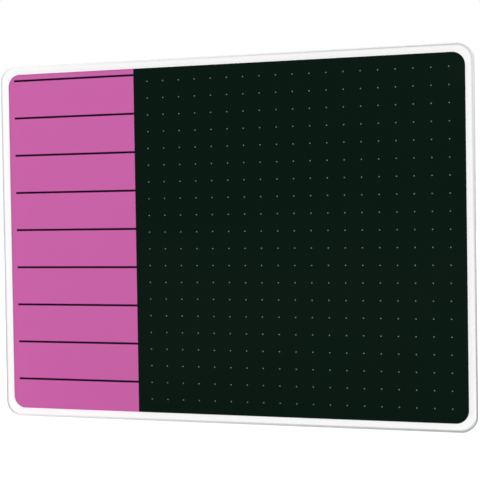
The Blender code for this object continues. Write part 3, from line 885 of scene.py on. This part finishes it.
def pad_points(fittings, centre, radius, back, front):
    """A soft round pad: flat at the wall and the bracket, with rounded edges and a drawn-in side."""
    soft, steps = fittings.pad_round, 64
    up = np.linspace(0, 1, 9)[1:-1]
    drawn = radius - fittings.pad_waist * np.sin(math.pi * up)
    profile = joined(
        np.linspace((0, back), (radius - soft, back), 7, endpoint=False),
        arc((radius - soft, back + soft), soft, -QUARTER, 0, 6),
        np.stack((drawn, back + soft + (front - back - 2 * soft) * up), -1),
        arc((radius - soft, front - soft), soft, 0, QUARTER, 6),
        (0, front),
    )
    return placed(centre, *turned(profile, steps))


# Operators.


class WHITEBOARD_OT_frame(bpy.types.Operator):
    """Mould the frame: its rail, screw bosses and centring ribs"""

    bl_idname = "whiteboard.frame"
    bl_label = "Frame moulding"

    def execute(self, context):
        sizes = context.scene.whiteboard_frame
        tints = context.scene.whiteboard_finishes
        plastic = moulded_plastic(
            "glossy_frame_plastic",
            tints.frame_white,
            roughness=(0.34, 0.44),
            grain=1500.0,
            depth=0.01 * MM,
            edge_shade_tint=tints.frame_edge,
        )
        lip_underside = sizes.crest - sizes.face_fall - sizes.lip
        roof = lip_underside + sizes.face_fall / 2
        stations, marks = frame_section(sizes, lip_underside, roof, float(FILM_LOW[0] - FRAME_LOW[0]))
        points = moulding_points(sizes, stations)
        faces = grid_faces(*points.shape[:2], wrap_rows=True, wrap_columns=True)
        # Painted shade along the outer edge, kept on the mesh as its edge mark.
        marks = edge_marks(sizes, marks)
        new_piece("frame_moulding", points, faces, plastic, "frame_plastic", ["frame"], marks=marks)

        back, _ = heights("backing_sheet")
        sunk, hole_wall, hole_spare = 0.5 * MM, 0.3 * MM, 0.6 * MM
        root, wall_root, rib_back = roof + sunk, sizes.wall - sunk, back + 2 * MM
        boss_inset = FRAME_HIGH[2] - middle("clip_screw_top_left")[1]
        rib_end = boss_inset + sizes.boss / 2
        web_end = boss_inset - sizes.pilot / 2 - hole_wall
        share = (np.arange(sizes.ribs_per_bay) + 1) / (sizes.ribs_per_bay + 1)
        centres, ribs = [], []
        for rail, along in screw_places(sizes).items():
            centres.append(np.stack(on_rail(rail, sizes, along, np.full(len(along), boss_inset)), -1))
            between = (along[:-1, None] + np.diff(along)[:, None] * share).ravel()
            for places, end in ((between, rib_end), (along, web_end)):
                ribs.append(rib_points(sizes, rail, places, wall_root, end, rib_back, root))
        bottom = heights("clip_screw_top_left")[1] + hole_spare
        points, faces = boss_points(sizes, np.concatenate(centres), back, bottom, root)
        new_piece("frame_bosses", points, faces, plastic, "frame_plastic")
        new_piece("frame_ribs", *combined(ribs), plastic, "frame_plastic")
        return {"FINISHED"}


class WHITEBOARD_OT_film(bpy.types.Operator):
    """Lay the printed film: one sheet with its print and gloss"""

    bl_idname = "whiteboard.film"
    bl_label = "Printed film"

    def execute(self, context):
        sizes = context.scene.whiteboard_frame
        half_x = float(FILM_HIGH[0] - FILM_LOW[0]) / 2
        half_y = float(FILM_HIGH[2] - FILM_LOW[2]) / 2
        radius = corner_radius(sizes, sizes.width / 2 - half_x)
        points, faces = sheet_points(half_x, half_y, radius, *heights("printed_film"))
        ink = film_print(context.scene.whiteboard_print)
        film = new_piece("film_sheet", points, faces, ink, "printed_film", ["printed_film"])
        self.lay_map(film.data, half_x, half_y)
        return {"FINISHED"}

    @staticmethod
    def lay_map(mesh, half_x, half_y):
        """Lay the sheet out flat for its print: the front fills the map, the back and edges take a strip."""
        layer = mesh.uv_layers.new(name="OFBake")
        corner = item_values(mesh.loops, "vertex_index", dtype=np.int32)
        sides = item_values(mesh.polygons, "loop_total", dtype=np.int32)
        shows = np.repeat(item_values(mesh.polygons, "normal", 3).reshape(-1, 3)[:, 1] < -0.5, sides)
        where = item_values(mesh.vertices, "co", 3).reshape(-1, 3)[corner]
        margin, strip, front = 0.005, 0.04, 0.055
        u = margin + (1 - 2 * margin) * (where[:, 0] / half_x + 1) / 2
        v = (where[:, 2] / half_y + 1) / 2
        v = np.where(shows, front + (1 - margin - front) * v, margin + strip * v)
        layer.uv.foreach_set("vector", np.stack((u, v), -1).astype(np.float32).ravel())


class WHITEBOARD_OT_panel(bpy.types.Operator):
    """Finish the panel behind the film: steel sheet, core board and backing paper"""

    bl_idname = "whiteboard.panel"
    bl_label = "Panel layers"

    def execute(self, context):
        tints = context.scene.whiteboard_finishes
        finish_node("steel_sheet", brushed_metal("rolled_steel", tints.steel, (0.32, 0.46), (1, 1, 40)))
        finish_node("core_board", pressed_fibre(tints.fibreboard))
        finish_node("backing_sheet", kraft_paper(tints.kraft, tints.kraft_fibre))
        return {"FINISHED"}


class WHITEBOARD_OT_brackets(bpy.types.Operator):
    """Round the corner brackets' edges and finish them"""

    bl_idname = "whiteboard.brackets"
    bl_label = "Corner brackets"

    def execute(self, context):
        fittings = context.scene.whiteboard_fittings
        tint = context.scene.whiteboard_finishes.bracket_white
        plastic = moulded_plastic("satin_bracket_plastic", tint, (0.42, 0.55), grain=1100.0, depth=0.03 * MM)
        for corner in CORNERS:
            node = f"corner_bracket_{corner}"
            softened_copy(f"bracket_{corner}", node, plastic, fittings.bracket_round)
        return {"FINISHED"}


class WHITEBOARD_OT_clips(bpy.types.Operator):
    """Make the panel clips"""

    bl_idname = "whiteboard.clips"
    bl_label = "Panel clips"

    def execute(self, context):
        sizes = context.scene.whiteboard_frame
        fittings = context.scene.whiteboard_fittings
        tint = context.scene.whiteboard_finishes.clip_white
        plastic = moulded_plastic("satin_clip_plastic", tint, (0.4, 0.52), grain=1100.0, depth=0.03 * MM)
        for clip in CLIPS:
            node = f"panel_clip_{clip}"
            low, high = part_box(node)
            x, y = middle(f"clip_screw_{clip}")
            rail = rail_of(x, y, sizes)
            along, hole = from_rail(rail, sizes, x, y)
            ends = [from_rail(rail, sizes, end[0], end[2])[1] for end in (low, high)]
            back, front = heights(node)
            points, faces = clip_points(sizes, fittings, rail, along, min(ends), max(ends), hole, back, front)
            new_piece(f"clip_{clip}", points, faces, plastic, "clip_plastic", [node])
        return {"FINISHED"}


class WHITEBOARD_OT_screws(bpy.types.Operator):
    """Make the screws, with their cross recesses"""

    bl_idname = "whiteboard.screws"
    bl_label = "Screws"

    def execute(self, context):
        fittings = context.scene.whiteboard_fittings
        zinc = brushed_metal("zinc_plate", context.scene.whiteboard_finishes.zinc, (0.28, 0.4), (1, 1, 1))
        turn_step = 37
        for index, node in enumerate(SCREWS):
            turn = index * math.radians(turn_step)
            points, faces = screw_points(fittings, middle(node), turn, *heights(node))
            kind, rest = node.split("_screw_")
            new_piece(f"screw_{kind}_{rest}", points, faces, zinc, "screw_zinc", [node], sharp=50)
        return {"FINISHED"}


class WHITEBOARD_OT_pads(bpy.types.Operator):
    """Make the soft wall pads"""

    bl_idname = "whiteboard.pads"
    bl_label = "Wall pads"

    def execute(self, context):
        fittings = context.scene.whiteboard_fittings
        foam = pad_foam(context.scene.whiteboard_finishes.foam)
        for corner in CORNERS:
            node = f"wall_pad_{corner}"
            low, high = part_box(node)
            radius = float(high[0] - low[0]) / 2
            points, faces = pad_points(fittings, middle(node), radius, *heights(node))
            pad = new_piece(f"pad_{corner}", points, faces, foam, "pad_foam", [node])
        return {"FINISHED"}


class WHITEBOARD_OT_stage(bpy.types.Operator):
    """Set the floor, the lights, the background and the camera"""

    bl_idname = "whiteboard.stage"
    bl_label = "Stage"

    def execute(self, context):
        scene = context.scene
        settings = scene.whiteboard_stage
        scene.view_settings.view_transform = "Standard"
        self.place_camera(scene, settings)
        self.light(scene, settings)
        self.lay_floor(settings)
        return {"FINISHED"}

    @staticmethod
    def place_camera(scene, settings):
        """The camera of the photograph: place, turn and lens, with no shift."""
        data = bpy.data.cameras.new("camera")
        data.lens = settings.lens
        camera = add_object("camera", data)
        camera.location = settings.camera_place
        camera.rotation_euler = settings.camera_turn
        scene.camera = camera

    @staticmethod
    def add_lamp(name, place, strength, spread):
        """A soft lamp far away in a direction."""
        data = bpy.data.lights.new(name, "SUN")
        data.energy = strength
        data.angle = spread
        add_object(name, data).rotation_euler = Vector(place).to_track_quat("Z", "Y").to_euler()

    @staticmethod
    def show(tree, output, plain, shown):
        """One shader where the camera sees it, also by gloss or glass, and a plain one elsewhere."""
        path = put(tree, "LightPath").outputs
        seen = calc(tree, "MAXIMUM", path["Is Camera Ray"], path["Is Glossy Ray"])
        seen = calc(tree, "MAXIMUM", seen, path["Is Transmission Ray"])
        mix = put(tree, "MixShader", {0: seen, 1: plain.outputs[0], 2: shown.outputs[0]})
        put(tree, output, {"Surface": mix.outputs[0]})

    def light(self, scene, settings):
        """A soft key light from the front, another for the back, and an even sky that shows as white."""
        self.add_lamp("key_light", settings.key_from, settings.key_strength, settings.key_spread)
        self.add_lamp("rear_light", settings.rear_from, settings.rear_strength, settings.rear_spread)
        scene.world = scene.world or bpy.data.worlds.new("studio")
        scene.world.use_nodes = True
        tree = scene.world.node_tree
        tree.nodes.clear()
        even = put(tree, "Background", {"Color": WHITE, "Strength": settings.sky_strength})
        white = put(tree, "Background", {"Color": WHITE, "Strength": 1.0})
        self.show(tree, "OutputWorld", even, white)

    def lay_floor(self, settings):
        """A pale floor under the board, seen white apart from the board's shadow."""
        reach, lines = 12.0, 9
        level = FRAME_LOW[2] - 0.3 * MM
        line = np.linspace(-reach, reach, lines)
        x, y = np.meshgrid(line, line, indexing="ij")
        points = np.stack((x, y, np.full_like(x, level)), -1).reshape(-1, 3)
        mesh = bpy.data.meshes.new("floor")
        mesh.from_pydata(points.tolist(), [], grid_faces(lines, lines).tolist())
        material, tree, _ = new_finish("pale_floor")
        tree.nodes.clear()
        matte = put(tree, "BsdfDiffuse", {"Color": rgba(settings.floor_tone)})
        glow = put(tree, "Emission", {"Color": WHITE, "Strength": settings.floor_glow})
        both = put(tree, "AddShader", {0: matte.outputs[0], 1: glow.outputs[0]})
        self.show(tree, "OutputMaterial", matte, both)
        mesh.materials.append(material)
        floor = add_object("floor", mesh)


OPERATORS = (
    WHITEBOARD_OT_frame,
    WHITEBOARD_OT_film,
    WHITEBOARD_OT_panel,
    WHITEBOARD_OT_brackets,
    WHITEBOARD_OT_clips,
    WHITEBOARD_OT_screws,
    WHITEBOARD_OT_pads,
    WHITEBOARD_OT_stage,
)


class WHITEBOARD_PT_tools(bpy.types.Panel):
    """Lists the pieces and the stage"""

    bl_label = "Whiteboard"
    bl_idname = "WHITEBOARD_PT_tools"
    bl_space_type = "VIEW_3D"
    bl_region_type = "UI"
    bl_category = "Whiteboard"

    def draw(self, context):
        for operator in OPERATORS:
            self.layout.operator(operator.bl_idname)
        for name, group in GROUPS.items():
            box = self.layout.box()
            box.label(text=group.__doc__)
            settings = getattr(context.scene, name)
            for key in group.__annotations__:
                box.prop(settings, key)


CLASSES = (*GROUPS.values(), *OPERATORS, WHITEBOARD_PT_tools)


def register():
    """Register the classes, and give the scene their settings."""
    for item in CLASSES:
        bpy.utils.register_class(item)
    for name, group in GROUPS.items():
        setattr(bpy.types.Scene, name, PointerProperty(type=group))


def unregister():
    """Take the settings and the classes away again."""
    for name in GROUPS:
        delattr(bpy.types.Scene, name)
    for item in reversed(CLASSES):
        bpy.utils.unregister_class(item)


def main():
    """Make the pieces and the stage in order."""
    register()
    bpy.ops.whiteboard.frame()
    bpy.ops.whiteboard.film()
    bpy.ops.whiteboard.panel()
    bpy.ops.whiteboard.brackets()
    bpy.ops.whiteboard.clips()
    bpy.ops.whiteboard.screws()
    bpy.ops.whiteboard.pads()
    bpy.ops.whiteboard.stage()


if __name__ == "__main__":
    main()
